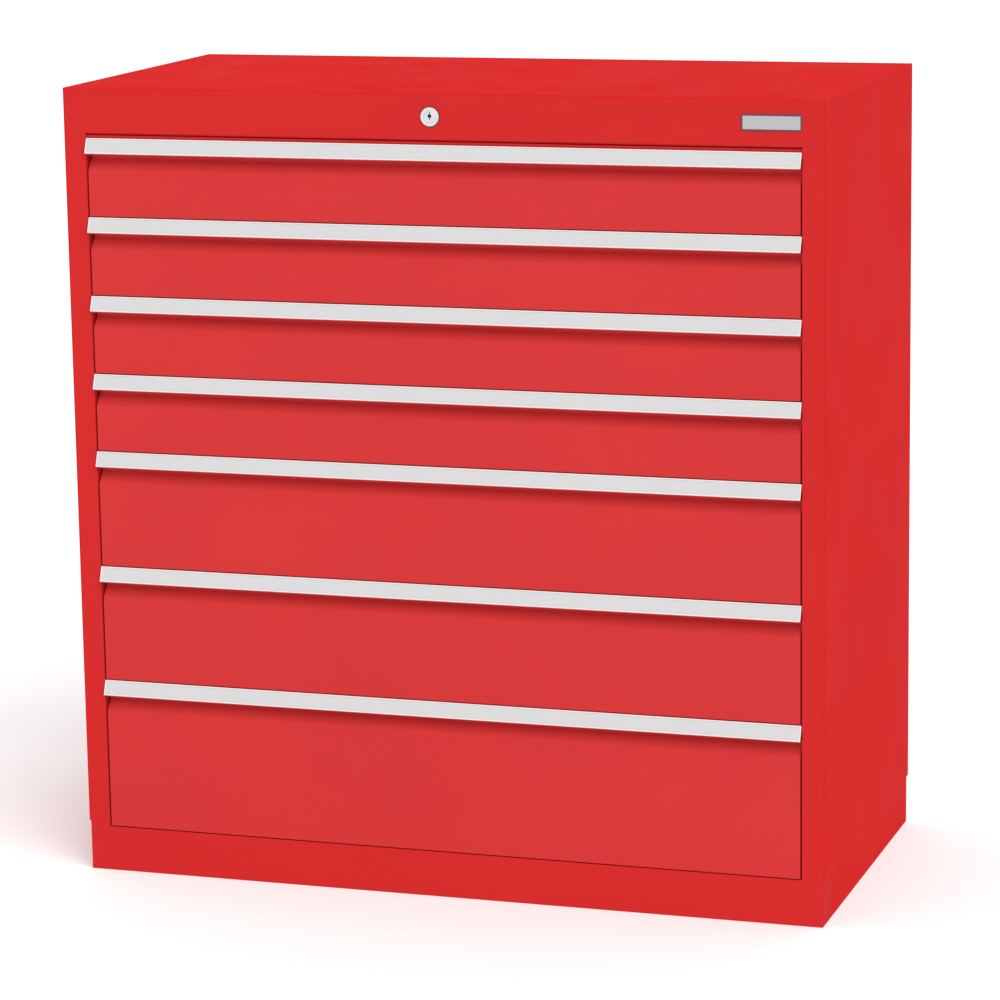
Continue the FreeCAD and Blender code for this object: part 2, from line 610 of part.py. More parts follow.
def lock():
    centre = shifted(("dims.lock_shift", "0", LOCK_Z))
    collar, bore = "dims.collar_height", "dims.plug_radius + dims.plug_play"
    points = [(f"-{collar}", bore), (f"-{collar}", "dims.collar_radius - dims.collar_round"),
              (f"-{collar} + dims.collar_round", "dims.collar_radius"), ("0", "dims.collar_radius"),
              ("0", "dims.barrel_radius"), ("dims.barrel_length", "dims.barrel_radius"),
              ("dims.barrel_length", bore)]
    add_node(turned("lock_housing", points, centre), "lock_housing")

    face = f"-{collar} + dims.plug_sink"
    points = [(face, "0"), (face, "dims.plug_radius"), ("dims.barrel_length", "dims.plug_radius"),
              ("dims.barrel_length", "0")]
    plug = turned("plug_blank", points, centre)
    key_z = f"({LOCK_Z} + dims.key_rise)"
    keyway = block("keyway", ("dims.lock_shift - dims.key_slot_width / 2", f"{face} - dims.overrun",
                              f"{key_z} - dims.key_slot_length / 2"),
                   ("dims.lock_shift + dims.key_slot_width / 2", f"{face} + dims.key_slot_depth",
                    f"{key_z} + dims.key_slot_length / 2"))
    keyhole = pin("keyhole", "dims.key_hole_radius", ("dims.lock_shift", f"{face} - dims.overrun", key_z),
                  "dims.overrun + dims.key_slot_depth")
    add_node(cut("lock_plug", plug, [keyway, keyhole]), "lock_plug")

    nut = doc.addObject("Part::Prism", "nut_blank")
    nut.Polygon = 6
    nut.Placement.Rotation = FreeCAD.Rotation(FreeCAD.Vector(1, 0, 0), -90)
    bind(nut, Circumradius="dims.nut_across / sqrt(3)", Height="dims.nut_height")
    place(nut, *shifted(("dims.lock_shift", "dims.frame_sheet", LOCK_Z)))
    hole = pin("nut_hole", "dims.barrel_radius + dims.plug_play", ("dims.lock_shift", "0", LOCK_Z),
               "dims.nut_height + 2 * dims.overrun")
    add_node(cut("lock_nut", nut, [hole]), "lock_nut")

    # the cam's arm points up and to the left at rest, and a quarter turn brings it to the right
    arm = box("cam_arm", ("-dims.cam_width / 2", "0", "0"),
              ("dims.cam_width / 2", "dims.cam_sheet", "dims.cam_radius"))
    hub = rod("cam_hub", "dims.cam_width / 2", ("0", "0", "0"), "dims.cam_sheet")
    tip = rod("cam_tip", "dims.cam_width / 2", ("0", "0", "dims.cam_radius"), "dims.cam_sheet")
    stud = rod("cam_pin", "dims.pin_radius", ("0", "0", "dims.cam_radius"),
               f"{DRAW_BACK} + dims.stud_overrun - dims.barrel_length")
    cam = join("lock_cam", [arm, hub, tip, stud])
    cam.Placement.Rotation = FreeCAD.Rotation(FreeCAD.Vector(0, 1, 0), CAM_REST)
    place(cam, *shifted(("dims.lock_shift", "dims.barrel_length", LOCK_Z)))
    add_node(cam, "lock_cam")


def draw_bar():
    # flat bar on two studs; the cam pin pulls it across and its slanted slot lifts the locking bar
    cam_x = f"(dims.lock_shift - {PIN_OFFSET})"
    half = "dims.draw_bar_height / 2"
    end_x = f"{cam_x} - dims.pin_radius - dims.pin_play - dims.draw_bar_margin"
    plate = block("draw_bar_plate", (end_x, DRAW_FRONT, f"{DRAW_MID} - {half}"),
                  (f"{LINK_X} + dims.draw_bar_margin", DRAW_BACK, f"{DRAW_MID} + {half}"))
    reach = f"(dims.cam_radius - {PIN_OFFSET}) / 2 + dims.pin_play"
    slots = slot_tool("cam_slot", (cam_x, DRAW_FRONT, DRAW_MID), reach,
                      "(dims.pin_radius + dims.pin_play)", upright=True)
    for i, x in enumerate((GUIDE_LEFT, GUIDE_RIGHT)):
        slots += slot_tool(f"guide_slot_{i}", (f"{x} - {STROKE} / 2", DRAW_FRONT, DRAW_MID),
                           f"{STROKE} / 2 + dims.stud_play", "(dims.stud_radius + dims.stud_play)")
    add_node(cut("draw_bar", plate, slots + slanted_slot()), "draw_bar")


def slanted_slot():
    # round ends at the link pin's two places, joined by a block turned to the slope
    radius = "(dims.pin_radius + dims.stud_play)"
    near = f"{DRAW_FRONT} - dims.overrun"
    depth = "dims.bar_sheet + 2 * dims.overrun"
    upper_end = (f"{LINK_X} - {STROKE}", near, f"{LINK_Z} + dims.lock_lift")
    ends = [pin("slant_low_end", radius, (LINK_X, near, LINK_Z), depth),
            pin("slant_high_end", radius, upper_end, depth)]
    run = f"sqrt({STROKE} ^ 2 + dims.lock_lift ^ 2)"
    core = box("slant_core", (f"-{run}", "0", f"-{radius}"), ("0", depth, radius))
    ramp = join("slant_middle", [core, rod("slant_pivot", radius, ("0", "0", "0"), depth)])
    ramp.Placement.Rotation = FreeCAD.Rotation(FreeCAD.Vector(0, 1, 0), 1)
    bind(ramp, **{"Placement.Rotation.Angle": f"atan(dims.lock_lift / {STROKE})"})
    place(ramp, *shifted((LINK_X, near, LINK_Z)))
    return ends + [ramp]


def locking_bar():
    strip = block("bar_strip", (BAR_IN, BAR_FRONT, "dims.bar_foot"), (BAR_OUT, BAR_BACK, BAR_TOP))
    tools = []
    for i, z in enumerate((GUIDE_LOW, GUIDE_HIGH)):
        tools += slot_tool(f"bar_slot_{i}", (BAR_MID, BAR_FRONT, f"{z} - dims.lock_lift / 2"),
                           "dims.lock_lift / 2 + dims.stud_play",
                           "(dims.stud_radius + dims.stud_play)", upright=True)
    add_node(cut("locking_bar", strip, tools), "locking_bar")

    fingers = []
    for number in range(len(PITCHES) + 1):
        low = f"({slide_top(number)} + dims.finger_rise)"
        fingers.append(block(f"finger_{number}", (f"{BAR_IN} - dims.finger_reach", BAR_FRONT, low),
                             (BAR_IN, BAR_BACK, f"{low} + dims.finger_height")))
    add_node(group("lock_fingers", fingers), "lock_fingers")

    arm = block("link_arm", (f"{LINK_X} - dims.link_margin", BAR_FRONT, f"{LINK_Z} - dims.link_margin"),
                (BAR_IN, BAR_BACK, BAR_TOP))
    start_y = f"{DRAW_FRONT} - dims.stud_overrun"
    stud = pin("link_pin", "dims.pin_radius", (LINK_X, start_y, LINK_Z), f"{BAR_BACK} - ({start_y})")
    add_node(join("lock_link", [arm, stud]), "lock_link")


def blank_plate():
    right = f"({STILE_IN} - dims.plate_inset)"
    top = f"({BODY_HEIGHT} - dims.plate_drop)"
    points = [("0", "0"), ("dims.plate_width", "0"), ("dims.plate_width", "dims.plate_height"),
              ("0", "dims.plate_height")]
    body = extruded("blank_plate", "XZ_Plane", points, "dims.plate_thickness")
    rounded(body, "plate_corners", lambda edge: not at(edge.BoundBox.YLength, "0"), "dims.plate_round")
    place(body, f"{right} - dims.plate_width", FRONT_Y, f"{top} - dims.plate_height")
    add_node(body, "blank_plate")


side_panel(-1, "left_side_panel")
side_panel(1, "right_side_panel")
front_uprights()
rear_posts()
back_panel()
back_screws()
top_cover()
top_rail()
base_channel("base_front", "0", True)
base_channel("base_rear", f"({BACK_IN} - dims.base_flange)", False)
base_sides()
base_pan()
drawers()
lock()
draw_bar()
locking_bar()
blank_plate()
doc.recompute()

failed = [o.Name for o in doc.Objects if "Invalid" in o.State or "Error" in o.State]
bad = [o.Label for o in nodes if o.Shape.isNull() or not o.Shape.isValid() or not o.Shape.Solids]
if failed or bad:
    raise RuntimeError(f"failed objects {failed}, bad shapes {bad}")

os.makedirs("parts", exist_ok=True)
for node in nodes:
    node.Shape.exportStep(f"parts/{node.Label}.step")
    print(node.Label, len(node.Shape.Solids), "solids", round(node.Shape.Volume / 1000, 1), "cm3")
print(len(nodes), "nodes")
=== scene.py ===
import json
import math

import bmesh
import bpy
import numpy as np
from mathutils import Matrix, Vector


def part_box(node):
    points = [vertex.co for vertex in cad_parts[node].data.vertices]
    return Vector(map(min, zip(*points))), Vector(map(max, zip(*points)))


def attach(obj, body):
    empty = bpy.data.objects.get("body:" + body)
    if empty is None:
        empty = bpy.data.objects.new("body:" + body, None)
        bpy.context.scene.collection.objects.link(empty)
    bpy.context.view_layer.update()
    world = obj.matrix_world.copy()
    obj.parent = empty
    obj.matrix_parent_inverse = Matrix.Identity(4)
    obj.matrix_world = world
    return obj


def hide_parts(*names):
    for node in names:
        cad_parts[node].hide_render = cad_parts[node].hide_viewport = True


# Looks of the steel drawer cabinet. Metres, X across the front, Y to the back, Z up.

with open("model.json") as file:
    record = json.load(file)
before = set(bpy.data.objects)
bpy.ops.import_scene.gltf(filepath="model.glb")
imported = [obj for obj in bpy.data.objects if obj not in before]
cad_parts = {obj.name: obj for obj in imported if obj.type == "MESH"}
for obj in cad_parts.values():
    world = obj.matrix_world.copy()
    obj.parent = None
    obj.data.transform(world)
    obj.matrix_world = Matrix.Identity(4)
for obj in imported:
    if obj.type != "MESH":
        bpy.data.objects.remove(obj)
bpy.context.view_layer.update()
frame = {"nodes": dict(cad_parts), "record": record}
nodes = frame["nodes"]
print("frame loaded,", len(nodes), "nodes")

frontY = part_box("top_rail")[0].y  # the plane that the rail and the uprights share
drawerNumbers = [n for n in range(1, len(nodes)) if f"drawer_{n}_front" in nodes]


# Stage: camera, floor and light

view = {
    "yaw": 18.0622, "pitch": 11.4428, "roll": -0.8676,  # degrees
    "place": (1.5392, -4.7193, 1.4702), "clipEnd": 200,
    "lens": 140.14, "sensor": 36.0,  # millimetres
}
studio = {
    "floorHalf": 30.0, "floorDrop": 0.0005, "sunDistance": 2, "skyStrength": 0.83,
    "floorColor": (0.98, 0.98, 0.98), "floorRoughness": 0.9, "floorSpecular": 0.1,
    "key": {"from": (0.95, -1.08, 1.32), "spread": 50, "strength": 1.85},  # spread in degrees
    "fill": {"from": (0.33, -1.0, 0.12), "spread": 20, "strength": 0.2},
}


def turn(axis, degrees):
    return np.array(Matrix.Rotation(math.radians(degrees), 3, axis))


def addObject(name, data, turned=None, place=None):
    made = bpy.data.objects.new(name, data)
    bpy.context.scene.collection.objects.link(made)
    if turned is not None:
        matrix = Matrix(turned.tolist()).to_4x4()
        matrix.translation = place
        made.matrix_world = matrix
    return made


def newMaterial(name, color, roughness, metallic=0.0, specular=0.5):
    made = bpy.data.materials.new(name)
    made.use_nodes = True
    shader = made.node_tree.nodes["Principled BSDF"]
    shader.inputs["Base Color"].default_value = (*color, 1)
    shader.inputs["Roughness"].default_value = roughness
    shader.inputs["Metallic"].default_value = metallic
    shader.inputs["Specular IOR Level"].default_value = specular
    return made, shader


def makeCamera():
    # rolled about its own axis, tipped up to level less the pitch, then turned by the yaw
    cam = bpy.data.cameras.new("photoCamera")
    cam.lens = view["lens"]
    cam.sensor_width = view["sensor"]
    cam.clip_end = view["clipEnd"]
    turned = turn("Z", view["yaw"]) @ turn("X", 90 - view["pitch"]) @ turn("Z", view["roll"])
    bpy.context.scene.camera = addObject("photoCamera", cam, turned, view["place"])


def makeFloor():
    half, low = studio["floorHalf"], -studio["floorDrop"]
    corners = [(-half, -half, low), (half, -half, low), (half, half, low), (-half, half, low)]
    mesh = bpy.data.meshes.new("studioFloor")
    mesh.from_pydata(corners, [], [(0, 1, 2, 3)])
    paper, _ = newMaterial("studioPaper", studio["floorColor"], studio["floorRoughness"],
                           specular=studio["floorSpecular"])
    mesh.materials.append(paper)
    floor = addObject("studioFloor", mesh)


def makeSun(name, facts):
    # parallel light from a direction, its disc spread wide for soft shadows
    lamp = bpy.data.lights.new(name, "SUN")
    lamp.energy = facts["strength"]
    lamp.angle = math.radians(facts["spread"])
    x, y, z = facts["from"]
    tilt = math.degrees(math.atan2(math.hypot(x, y), z))
    spin = math.degrees(math.atan2(y, x)) + 90
    place = [studio["sunDistance"] * c for c in facts["from"]]
    addObject(name, lamp, turn("Z", spin) @ turn("X", tilt), place)


def makeSky():
    world = bpy.data.worlds.new("studioSky")
    world.use_nodes = True
    sky = world.node_tree.nodes["Background"]
    sky.inputs["Color"].default_value = (1, 1, 1, 1)
    sky.inputs["Strength"].default_value = studio["skyStrength"]
    bpy.context.scene.world = world
    bpy.context.scene.view_settings.view_transform = "Standard"


makeCamera()
makeFloor()
makeSky()
makeSun("keyLight", studio["key"])
makeSun("fillLight", studio["fill"])
print("stage ready")


# Materials. Noise is in cells a metre along X, Y and Z. A bump is its strength and height,
# a tint its darkest and lightest share of the colour.

noiseSpan = {"low": 0.35, "high": 0.65, "rampLow": 0.3, "rampHigh": 0.7}  # where its values lie


def addNode(material, kind, **values):
    node = material.node_tree.nodes.new(kind)
    for name, value in values.items():
        node.inputs[name].default_value = value
    return node


def link(material, source, target):
    material.node_tree.links.new(source, target)


def objectNoise(material, stretch, detail=3.0, roughness=0.55):
    # noise on the object's own coordinates, its cells stretched along each axis
    place = addNode(material, "ShaderNodeTexCoord")
    mapping = addNode(material, "ShaderNodeMapping", Scale=stretch)
    noise = addNode(material, "ShaderNodeTexNoise", Scale=1.0, Detail=detail, Roughness=roughness)
    link(material, place.outputs["Object"], mapping.inputs["Vector"])
    link(material, mapping.outputs["Vector"], noise.inputs["Vector"])
    return noise.outputs["Fac"]


def spread(material, factor, low, high, start=noiseSpan["low"], end=noiseSpan["high"]):
    # the factor's range from start to end, stretched over low to high
    node = addNode(material, "ShaderNodeMapRange")
    node.inputs["From Min"].default_value = start
    node.inputs["From Max"].default_value = end
    node.inputs["To Min"].default_value = low
    node.inputs["To Max"].default_value = high
    link(material, factor, node.inputs["Value"])
    return node.outputs["Result"]


def tinted(material, factor, color, darkest, lightest):
    # the colour times darkest to lightest, by the factor
    ramp = addNode(material, "ShaderNodeValToRGB")
    first, last = ramp.color_ramp.elements
    first.position, last.position = noiseSpan["rampLow"], noiseSpan["rampHigh"]
    first.color = (*[c * darkest for c in color], 1)
    last.color = (*[min(1, c * lightest) for c in color], 1)
    link(material, factor, ramp.inputs["Fac"])
    return ramp.outputs["Color"]


def bumped(material, shader, layers):
    # one bump on another; each layer is a factor, a strength and a height
    normal = None
    for factor, strength, height in layers:
        bump = addNode(material, "ShaderNodeBump", Strength=strength, Distance=height)
        link(material, factor, bump.inputs["Height"])
        if normal:
            link(material, normal, bump.inputs["Normal"])
        normal = bump.outputs["Normal"]
    link(material, normal, shader.inputs["Normal"])


powder = {
    "peel": (620, 620, 620), "peelBump": (0.3, 0.0001), "wave": (9, 9, 9),
    "waveBump": (0.2, 0.00025), "cloud": (3.1, 3.1, 4.3), "tint": (0.97, 1.03),
    "glossier": 0.05, "duller": 0.06,
}


def powderCoat(name, color, roughness, specular):
    # baked powder: fine orange peel, a faint wider waviness, and cloudy gloss and colour
    made, shader = newMaterial(name, color, roughness, specular=specular)
    peel = objectNoise(made, powder["peel"], detail=2.0)
    wave = objectNoise(made, powder["wave"], detail=2.0)
    cloud = objectNoise(made, powder["cloud"], detail=4.0)
    link(made, tinted(made, cloud, color, *powder["tint"]), shader.inputs["Base Color"])
    gloss = spread(made, wave, roughness - powder["glossier"], roughness + powder["duller"])
    link(made, gloss, shader.inputs["Roughness"])
    bumped(made, shader, [(peel, *powder["peelBump"]), (wave, *powder["waveBump"])])
    return made


brush = {
    "grainBump": (0.2, 0.00005), "cloud": (14, 14, 14), "cloudBump": (0.1, 0.0003),
    "tint": (0.95, 1.04), "smoother": 0.06, "rougher": 0.1,
}


def brushedMetal(name, color, roughness, stretch, metallic):
    # fine grain lines along the axis with the fewest cells
    made, shader = newMaterial(name, color, roughness, metallic)
    grain = objectNoise(made, stretch, detail=6.0, roughness=0.7)
    cloud = objectNoise(made, brush["cloud"], detail=2.0)
    link(made, tinted(made, grain, color, *brush["tint"]), shader.inputs["Base Color"])
    gloss = spread(made, grain, roughness - brush["smoother"], roughness + brush["rougher"])
    link(made, gloss, shader.inputs["Roughness"])
    bumped(made, shader, [(grain, *brush["grainBump"]), (cloud, *brush["cloudBump"])])
    return made


zinc = {
    "roughness": 0.34, "metallic": 1.0, "cells": 160.0, "cellGloss": (0.28, 0.44, 0.0, 0.9),
    "grain": (700, 24, 700), "grainBump": (0.2, 0.00006), "cloud": (18, 18, 18),
    "tint": (0.88, 1.08),
}


def zincPlate(name, color):
    # bright zinc: blue-grey clouds, cells of a slightly different gloss, fine scratches along Y
    made, shader = newMaterial(name, color, zinc["roughness"], zinc["metallic"])
    place = addNode(made, "ShaderNodeTexCoord")
    cells = addNode(made, "ShaderNodeTexVoronoi", Scale=zinc["cells"], Randomness=1.0)
    link(made, place.outputs["Object"], cells.inputs["Vector"])
    grain = objectNoise(made, zinc["grain"], detail=5.0, roughness=0.7)
    cloud = objectNoise(made, zinc["cloud"], detail=3.0)
    link(made, tinted(made, cloud, color, *zinc["tint"]), shader.inputs["Base Color"])
    gloss = spread(made, cells.outputs["Distance"], *zinc["cellGloss"])
    link(made, gloss, shader.inputs["Roughness"])
    bumped(made, shader, [(grain, *zinc["grainBump"])])
    return made


card = {
    "roughness": 0.55, "specular": 0.35, "fibre": (260, 900, 900), "fibreBump": (0.15, 0.00005),
    "tint": (0.975, 1.02),
}


def cardStock(name, color):
    # smooth card or plastic with a faint fibre; also the near-black pieces of painted shade
    made, shader = newMaterial(name, color, card["roughness"], specular=card["specular"])
    fibre = objectNoise(made, card["fibre"], detail=6.0, roughness=0.75)
    link(made, tinted(made, fibre, color, *card["tint"]), shader.inputs["Base Color"])
    bumped(made, shader, [(fibre, *card["fibreBump"])])
    return made


# The panel and cover coats are copies of the body's one paint, retuned for how light falls on each
# face: painted light for the sides, and a lighter red painted on the top
coats = {
    "body": {"color": (0.499, 0.021, 0.021), "roughness": 0.62, "specular": 0.007},
    "panel": {"color": (0.52, 0.014, 0.014), "roughness": 0.62, "specular": 0.007},
    "cover": {"color": (0.588, 0.0115, 0.0125), "roughness": 0.62, "specular": 0.006},
    "front": {"color": (0.503, 0.0315, 0.0315), "roughness": 0.6, "specular": 0.03},
    "tray": {"color": (0.49, 0.019, 0.019), "roughness": 0.6, "specular": 0.05},
}
metals = {
    "grip": {"color": (0.74, 0.74, 0.745), "roughness": 0.38, "stretch": (9, 1500, 1500),
             "metallic": 0.45},
    "plate": {"color": (0.432, 0.434, 0.441), "roughness": 0.40, "stretch": (30, 1600, 1600),
              "metallic": 0.6},
    "lock": {"color": (0.62, 0.625, 0.62), "roughness": 0.42, "stretch": (420, 420, 420),
             "metallic": 0.5},
}
bodyCoat = powderCoat("bodyCoat", **coats["body"])
sideLitCoat = powderCoat("sideLitCoat", **coats["panel"])
topLitCoat = powderCoat("topLitCoat", **coats["cover"])
frontCoat = powderCoat("frontCoat", **coats["front"])
trayCoat = powderCoat("trayCoat", **coats["tray"])
gripMetal = brushedMetal("gripMetal", **metals["grip"])
plateMetal = brushedMetal("plateMetal", **metals["plate"])
lockMetal = brushedMetal("lockMetal", **metals["lock"])
railZinc = zincPlate("railZinc", (0.60, 0.62, 0.65))
screwZinc = zincPlate("screwZinc", (0.56, 0.57, 0.59))
# near-black bluish rim round the plate: painted shadow line
plateShadowRim = cardStock("plateShadowRim", (0.055, 0.05, 0.085))
# near-black ring round the lock collar: painted shade
shadowRingBlack = cardStock("shadowRingBlack", (0.035, 0.03, 0.03))
# near-black inside the keyhole: painted shade
keyholeShadeBlack = cardStock("keyholeShadeBlack", (0.008, 0.007, 0.007))
labelCard = cardStock("labelCard", (0.507, 0.508, 0.510))
capPlastic = cardStock("capPlastic", (0.66, 0.66, 0.66))

slotLooks = {
    "red_powder_coat": bodyCoat, "grip_metal": gripMetal, "zinc_steel": railZinc,
    "lock_chrome": lockMetal, "plate_metal": plateMetal, "screw_steel": screwZinc,
}
# the top cover and the sides take the copies of the paint that carry painted light for their faces
nodeLooks = {
    "top_cover": topLitCoat, "left_side_panel": sideLitCoat, "right_side_panel": sideLitCoat,
    "base_sides": sideLitCoat,
}
for part in frame["record"]["subparts"]:
    node, slot = part["node"], part["material_slot"]
    look = nodeLooks.get(node, slotLooks[slot])
    if node.startswith("drawer_") and slot == "red_powder_coat":
        look = trayCoat if node.endswith("_tray") else frontCoat
    mesh = nodes[node].data
    mesh.materials.clear()
    mesh.materials.append(look)
print("materials on every node")


# Shapes: corners as one array, faces as lists of corner numbers

def arc(centre, radius, start, end, steps):
    # points on a circle from one angle to another, in radians
    angles = np.linspace(start, end, steps)
    return np.c_[centre[0] + radius * np.cos(angles), centre[1] + radius * np.sin(angles)]


def roundedOutline(points, radii, steps, closed=True):
    # a polygon with arcs for corners: each touches both sides at radius / tan(half corner)
    points = np.asarray(points, float)
    outline = []
    count = len(points)
    for i, (corner, radius) in enumerate(zip(points, radii)):
        if radius <= 0 or (not closed and i in (0, count - 1)):
            outline.append(corner[None])
            continue
        back = points[i - 1] - corner
        ahead = points[(i + 1) % count] - corner
        back /= np.linalg.norm(back)
        ahead /= np.linalg.norm(ahead)
        half = math.acos(np.clip(back @ ahead, -1, 1)) / 2
        bisector = (back + ahead) / np.linalg.norm(back + ahead)
        centre = corner + bisector * radius / math.sin(half)
        reach = radius / math.tan(half)
        first, last = corner + back * reach - centre, corner + ahead * reach - centre
        begin = math.atan2(first[1], first[0])
        sweep = math.atan2(first[0] * last[1] - first[1] * last[0], first @ last)
        outline.append(arc(centre, radius, begin, begin + sweep, steps))
    return np.concatenate(outline)


def sheetOutline(path, wall, bend, steps=6):
    # the outline of a folded sheet: the path, and the path moved left by the wall, bends round
    path = np.asarray(path, float)
    run = np.diff(path, axis=0)
    run /= np.linalg.norm(run, axis=1)[:, None]
    left = np.c_[-run[:, 1], run[:, 0]]
    before, after = np.r_[left[:1], left], np.r_[left, left[-1:]]
    miter = before + after
    miter /= (miter * after).sum(1)[:, None]
    inner = path + miter * wall
    turnLeft = np.r_[0, run[:-1, 0] * run[1:, 1] - run[:-1, 1] * run[1:, 0], 0]
    near = np.where(turnLeft > 0, bend + wall, bend)
    far = np.where(turnLeft > 0, bend, bend + wall)
    one = roundedOutline(path, near, steps, closed=False)
    two = roundedOutline(inner, far, steps, closed=False)
    return np.concatenate([one, two[::-1]])


def swept(outline, start, end, axis):
    # a closed outline carried straight along X or Y, with a cap at each end
    count = len(outline)
    along = np.repeat([start, end], count)
    flat = np.tile(outline, (2, 1))
    columns = [flat[:, 0], flat[:, 1]]
    columns.insert(0 if axis == "x" else 1, along)
    here = np.arange(count)
    ahead = (here + 1) % count
    sides = np.stack([here, ahead, ahead + count, here + count], 1).tolist()
    return np.stack(columns, 1), sides + [here[::-1].tolist(), (here + count).tolist()]


def ringFaces(rows, count):
    # quads between neighbouring rows of points, each row closed on itself
    row, step = np.meshgrid(np.arange(rows - 1), np.arange(count), indexing="ij")
    ahead = (step + 1) % count
    here, onward = row * count, (row + 1) * count
    quads = [here + step, onward + step, onward + ahead, here + ahead]
    return np.stack(quads, -1).reshape(-1, 4).tolist()


def rings(radii, depths, angles, centre, rise=0.0):
    # each row is a circle round Y: radius times cosine across, radius times sine plus its rise
    # up, and its depth back, all from the centre
    size = (len(depths), len(angles))
    radii = np.broadcast_to(np.asarray(radii, float), size)
    depths = np.broadcast_to(np.reshape(depths, (size[0], -1)), size)
    middle = centre[2] + np.broadcast_to(rise, size[0])[:, None]
    verts = np.stack([centre[0] + radii * np.cos(angles), centre[1] + depths,
                      middle + radii * np.sin(angles)], -1).reshape(-1, 3)
    return verts, ringFaces(*size)


def lathed(profile, centre, segments):
    # a profile of depth and radius turned about Y through the centre
    profile = np.asarray(profile, float)
    angles = np.arange(segments) * 2 * math.pi / segments
    return rings(profile[:, 1:], profile[:, 0], angles, centre)


def slottedSheet(across, heights, solid, near, far):
    # a sheet of cells from near to far, open where solid is false, with walls round each gap
    count, rows = len(across), len(heights)
    x, z = np.meshgrid(across, heights, indexing="ij")
    layers = [np.stack([x, np.full_like(x, y), z], -1).reshape(-1, 3) for y in (near, far)]
    one, two = np.arange(2 * count * rows).reshape(2, count, rows)
    i, j = np.nonzero(solid)
    faces = [np.stack([n[i, j], n[i + 1, j], n[i + 1, j + 1], n[i, j + 1]], 1)
             for n in (one, two)]
    ring = np.pad(solid, 1)
    i, j = np.nonzero(ring[1:, 1:-1] != ring[:-1, 1:-1])
    faces.append(np.stack([one[i, j], one[i, j + 1], two[i, j + 1], two[i, j]], 1))
    i, j = np.nonzero(ring[1:-1, 1:] != ring[1:-1, :-1])
    faces.append(np.stack([one[i, j], one[i + 1, j], two[i + 1, j], two[i, j]], 1))
    return np.concatenate(layers), np.concatenate(faces).tolist()


def merged(shapes):
    # several shapes as one: each one's corner numbers grow by the corners before it
    verts, faces, offset = [], [], 0
    for corners, sides in shapes:
        verts.append(corners)
        faces += [(np.array(side) + offset).tolist() for side in sides]
        offset += len(corners)
    return np.concatenate(verts), faces


finish = {"mergeWithin": 1e-7, "dropWithin": 1e-8, "bevelSteps": 3, "bevelFrom": 50}  # m, degrees


def makePiece(name, shape, body, look, replaces=(), bevel=0.0, sharp=30):
    # doubles merged and faces turned outwards, so the piece is closed at its caps and poles
    verts, faces = shape
    mesh = bpy.data.meshes.new(name)
    mesh.from_pydata(verts.tolist(), [], faces)
    work = bmesh.new()
    work.from_mesh(mesh)
    bmesh.ops.remove_doubles(work, verts=work.verts, dist=finish["mergeWithin"])
    bmesh.ops.dissolve_degenerate(work, edges=work.edges, dist=finish["dropWithin"])
    bmesh.ops.recalc_face_normals(work, faces=work.faces)
    work.to_mesh(mesh)
    work.free()
    mesh.shade_smooth()
    mesh.set_sharp_from_angle(angle=math.radians(sharp))
    mesh.materials.append(look)
    piece = addObject(name, mesh)
    if bevel:
        soften = piece.modifiers.new("softEdges", "BEVEL")
        soften.width = bevel
        soften.segments = finish["bevelSteps"]
        soften.limit_method = "ANGLE"
        soften.angle_limit = math.radians(finish["bevelFrom"])
        soften.harden_normals = True
    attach(piece, body)
    if replaces:
        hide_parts(*replaces)


# Drawer fronts

front = {
    "gripOverhang": 0.00735, "gripDrop": 0.0186, "gripThickness": 0.0022,
    "noseDrop": 0.0210, "recessDepth": 0.016, "recessDrop": 0.041, "depth": 0.021,
    "edgeBend": 0.0008, "noseBend": 0.0016, "cornerBend": 0.004, "recessBend": 0.012,
    "footBend": 0.0014, "bendSteps": 14, "endEdge": 0.0005,
}
lean = math.atan2(front["gripOverhang"], front["gripDrop"])


def panOutline(height):
    # depth and drop of the folded front, from the leaning face down over nose and recess
    faceStart = front["gripThickness"] / math.cos(lean)
    nose = faceStart - front["noseDrop"] * math.tan(lean)
    corners = [(faceStart, 0), (nose, -front["noseDrop"]),
               (front["recessDepth"], -front["noseDrop"]), (0, -front["recessDrop"]),
               (0, -height), (front["depth"], -height), (front["depth"], 0)]
    bends = [front["edgeBend"], front["noseBend"], front["cornerBend"], front["recessBend"],
             front["footBend"], 0, front["edgeBend"]]
    return roundedOutline(corners, bends, front["bendSteps"])


def makeFronts():
    for n in drawerNumbers:
        low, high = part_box(f"drawer_{n}_front")
        outline = panOutline(high.z - low.z) + (frontY, high.z)
        makePiece(f"drawerFront{n}", swept(outline, low.x, high.x, "x"), f"drawer_{n}",
                  frontCoat, [f"drawer_{n}_front"], bevel=front["endEdge"])


# Grip strips

grip = {
    "length": 0.020, "lip": 0.0015, "lipDepth": 0.0006, "slotDepth": 0.0012,
    "slotRise": 0.0008, "edge": 0.00035, "lipEdgeShare": 0.6, "capWidth": 0.0015,
    "capBevel": 0.0003, "cardFront": 0.00072, "cardBack": 0.00115, "cardInset": 0.001,
}


def leaning(points, top):
    # distance into the strip and down its face, turned by the lean into depth and height
    points = np.asarray(points, float)
    inward, down = points[:, 0], points[:, 1]
    depth = inward * math.cos(lean) - down * math.sin(lean)
    height = -inward * math.sin(lean) - down * math.cos(lean)
    return np.c_[frontY + depth, top + height]


